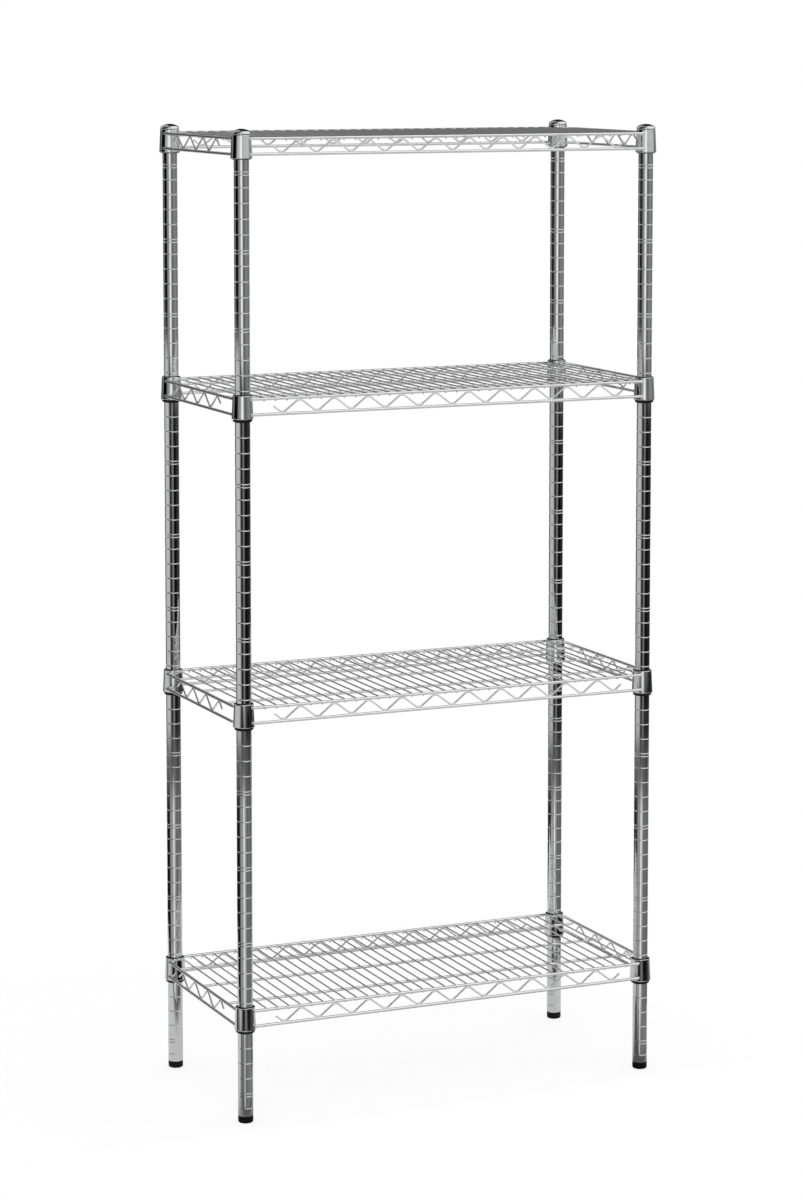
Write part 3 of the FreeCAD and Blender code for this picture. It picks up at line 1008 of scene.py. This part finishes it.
# Painted reflection: for mirror rays a share of the paler paper glows white, an emission that is no
# lamp.
painted_mirror_glow = in_mirror * painted_reflection_paleness * MIRROR_WHITE
clear = floor_place.node("ShaderNodeBsdfTransparent")
glow = floor_place.node("ShaderNodeEmission", inputs={"Color": WHITE, "Strength": 1.0})
matt = Paint(floor_paint.node_tree, floor_shader.outputs[0])
paper = floor_place.node("ShaderNodeMixShader", inputs={0: painted_mirror_glow, 1: matt, 2: glow})
sheet = floor_place.node("ShaderNodeMixShader", inputs={0: clearness, 1: paper, 2: clear})
floor_output = floor_paint.node_tree.nodes["Material Output"]
floor_paint.node_tree.links.new(sheet.socket, floor_output.inputs["Surface"])
print("the camera sees", round(1 - CAMERA_WHITE, 2), "of the paper")

# %% [markdown]
# ## Studio
# Chrome is only as good as what it mirrors. A plain white room would make it flat and grey.
# Panels could be modelled and lit, but the world itself can hold them: it has bright panels
# with dark gaps, set by their bearing from the camera's side, in bands one above the other,
# so that every stretch of the posts shows its own stripes. The camera itself sees plain
# white, and matt surfaces get an even light.

# %% Camera
CAMERA_PLACE = Vector((-2.3392, -5.2392, 1.7676))
CAMERA_YAW = 0.41812
CAMERA_TILT = 0.09785
CAMERA_LENS = 102.601
CAMERA_SHIFT = -0.19167
CAMERA_SENSOR = 36.0
CAMERA_REACH = 50.0

bpy.ops.object.select_all(action="DESELECT")
camera_turn = (math.pi / 2 - CAMERA_TILT, 0, -CAMERA_YAW)
bpy.ops.object.camera_add(location=CAMERA_PLACE, rotation=camera_turn)
camera = bpy.context.object
camera.data.sensor_width = CAMERA_SENSOR
camera.data.lens = CAMERA_LENS
camera.data.shift_y = CAMERA_SHIFT
camera.data.clip_end = CAMERA_REACH
bpy.context.scene.camera = camera
print("camera at", tuple(round(v, 3) for v in CAMERA_PLACE))

# %% Studio panels
# Each pair is a bearing from the camera's side, in degrees to the right, and a brightness.
UPPER_PANELS = ((-180, 0.03), (-170, 0.03), (-165, 0.45), (-152, 0.4), (-146, 0.14), (-130, 0.06),
                (-124, 0.8), (-112, 0.8), (-106, 0.1), (-96, 0.1), (-84, 0.02), (-56, 0.02),
                (-40, 0.15), (-12, 0.2), (-7, 0.6), (10, 0.6), (16, 0.2), (24, 0.25), (38, 0.9),
                (100, 0.95), (115, 0.4), (135, 0.03), (180, 0.03))
TOP_PANELS = ((-180, 0.03), (-172, 0.03), (-166, 0.7), (-158, 0.6), (-148, 0.08), (-120, 0.06),
              (-108, 0.3), (-98, 0.0), (-56, 0.0), (-44, 0.38), (-30, 0.58), (-16, 0.6),
              (-11, 1.0), (7, 1.0), (13, 0.44), (24, 0.55), (60, 0.56), (80, 0.62), (98, 0.5),
              (112, 0.2), (150, 0.1), (172, 0.03), (180, 0.03))
HIGH_PANELS = ((-180, 0.85), (-164, 0.8), (-150, 0.05), (-126, 0.05), (-112, 0.28), (-104, 0.22),
               (-94, 0.0), (-56, 0.0), (-40, 0.26), (-14, 0.36), (-9, 0.98), (9, 0.98),
               (14, 0.42), (23, 0.18), (41, 0.13), (60, 0.25), (81, 0.27), (106, 0.15),
               (150, 0.3), (164, 0.8), (180, 0.85))
MIDDLE_PANELS = ((-180, 0.85), (-164, 0.8), (-150, 0.06), (-126, 0.08), (-112, 0.48), (-62, 0.6),
                 (-46, 0.5), (-30, 0.12), (-22, 0.0), (-6, 0.02), (7, 0.2), (18, 0.17),
                 (30, 0.01), (55, 0.0), (80, 0.02), (98, 0.01), (112, 0.02), (135, 0.06),
                 (150, 0.3), (164, 0.8), (180, 0.85))
LOW_PANELS = ((-180, 0.6), (-164, 0.5), (-150, 0.1), (-104, 0.16), (-92, 0.1), (-62, 0.14),
              (-44, 0.12), (-32, 0.08), (-19, 0.1), (6, 0.08), (27, 0.1), (42, 0.11), (58, 0.09),
              (92, 0.04), (112, 0.2), (150, 0.25), (164, 0.5), (180, 0.6))
KNEE_PANELS = ((-180, 0.6), (-164, 0.5), (-150, 0.06), (-126, 0.02), (-98, 0.0), (-82, 0.0),
               (-66, 0.1), (-52, 0.36), (-33, 0.32), (-16, 0.4), (-9, 0.95), (0, 0.95), (6, 0.5),
               (20, 0.4), (30, 0.2), (48, 0.13), (66, 0.2), (86, 0.16), (111, 0.09), (150, 0.38),
               (164, 0.7), (180, 0.7))
LEG_PANELS = ((-180, 0.6), (-160, 0.5), (-140, 0.3), (-112, 0.15), (-97, 0.05), (-72, 0.06),
              (-56, 0.16), (-30, 0.18), (-13, 0.2), (-8, 0.7), (-2, 0.7), (3, 0.2), (9, 0.16),
              (40, 0.18), (58, 0.22), (76, 0.2), (84, 0.38), (91, 0.12), (120, 0.16), (160, 0.5),
              (180, 0.6))
FLOOR_PANELS = ((-180, 0.7), (-165, 0.8), (-118, 0.75), (-104, 0.2), (-72, 0.14), (-58, 0.7),
                (0, 0.8), (64, 0.75), (76, 0.25), (96, 0.2), (108, 0.7), (140, 0.8), (158, 0.35),
                (166, 0.35), (180, 0.7))
print("the widest band has", len(UPPER_PANELS), "stops")

# %% Which way a ray leaves the unit
world = bpy.data.worlds.new("studio")
bpy.context.scene.world = world
world.use_nodes = True
air = Paint(world.node_tree)
ray = air.node("ShaderNodeTexCoord", output="Generated")
ray_x = air.node("ShaderNodeSeparateXYZ", inputs={0: ray}, output="X")
ray_y = air.node("ShaderNodeSeparateXYZ", inputs={0: ray}, output="Y")
ray_z = air.node("ShaderNodeSeparateXYZ", inputs={0: ray}, output="Z")
sine, cosine = math.sin(CAMERA_YAW), math.cos(CAMERA_YAW)
towards = -sine * ray_x - cosine * ray_y
rightwards = cosine * ray_x - sine * ray_y
bearing = air.maths("ARCTAN2", rightwards, towards) * (1 / math.tau) + 0.5
print("camera bears", round(math.degrees(CAMERA_YAW), 1), "degrees off the front")


# %% Bands of panels
def panels(stops):
    places = [((degrees + 180) / 360, shade) for degrees, shade in stops]
    return air.node("ShaderNodeValToRGB", {"stops": places}, {0: bearing})


# From the top down: the height of each joint between two bands, half its softness, how far
# the joint climbs to the left, and the band below it.
BANDS = (
    (0.16, 0.04, 0.0, TOP_PANELS),
    (0.03, 0.012, 0.0, HIGH_PANELS),
    (-0.098, 0.005, 0.0085, MIDDLE_PANELS),
    (-0.204, 0.004, 0.0, LOW_PANELS),
    (-0.218, 0.006, 0.0, KNEE_PANELS),
    (-0.281, 0.005, 0.0, LEG_PANELS),
    (-0.365, 0.035, 0.0, FLOOR_PANELS),
)
room = panels(UPPER_PANELS)
for joint, soft, climb, stops in BANDS:
    level = ray_z + climb * rightwards
    room = level.smooth(joint - soft, joint + soft).mix(panels(stops), room)
print("studio has", len(BANDS) + 1, "bands")

# %% Softbox, and what each kind of ray meets
# The softbox hangs to the right and above: its way towards the camera, rightwards and up.
SOFTBOX_WAY = (0.1, 0.87, 0.48)
SOFTBOX_EDGE = (0.5, 0.7)
SOFTBOX_FOOT = (0.1, 0.25)
SOFTBOX_WHITE = (0.95, 0.95, 0.95, 1)

box_towards, box_rightwards, box_up = SOFTBOX_WAY
softbox = box_towards * towards + box_rightwards * rightwards + box_up * ray_z
softbox = softbox.smooth(*SOFTBOX_EDGE) * ray_z.smooth(*SOFTBOX_FOOT)
room = softbox.mix(room, SOFTBOX_WHITE)
mirrored = air.node("ShaderNodeLightPath", output="Is Glossy Ray")
seen_through = air.node("ShaderNodeLightPath", output="Is Transmission Ray")
direct = air.node("ShaderNodeLightPath", output="Is Camera Ray")
around = (mirrored + seen_through).mix(WHITE, room)
colour = direct.mix(around, WHITE)
background = world.node_tree.nodes["Background"]
world.node_tree.links.new(colour.socket, background.inputs["Color"])
background.inputs["Strength"].default_value = 1.0
bpy.context.scene.view_settings.view_transform = "Standard"
print("world uses", len(world.node_tree.nodes), "nodes")

# %% Soft lamp overhead
LAMP_PLACE = Vector((-0.9, -1.6, 3.2))
LAMP_TARGET = Vector((0, 0, 0.8))
LAMP_SIZE = 1.8
LAMP_WATTS = 6.0

bpy.ops.object.select_all(action="DESELECT")
bpy.ops.object.light_add(type="AREA", location=LAMP_PLACE)
lamp = bpy.context.object
lamp.name = "overhead panel"
lamp.data.shape = "DISK"
lamp.data.size = LAMP_SIZE
lamp.data.energy = LAMP_WATTS
lamp.visible_glossy = False
lamp.rotation_euler = (LAMP_TARGET - LAMP_PLACE).to_track_quat("-Z", "Y").to_euler()
print("lamp", lamp.data.energy, "W")

# %% [markdown]
# ## Sizes
# The dressed unit has to be as large as the CAD model, so both boxes are measured and printed.

# %% Sizes
visual_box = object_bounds()
for label, box in (("cad box", cad_box), ("visual box", visual_box)):
    print(label, [[round(v, 4) for v in corner] for corner in box])
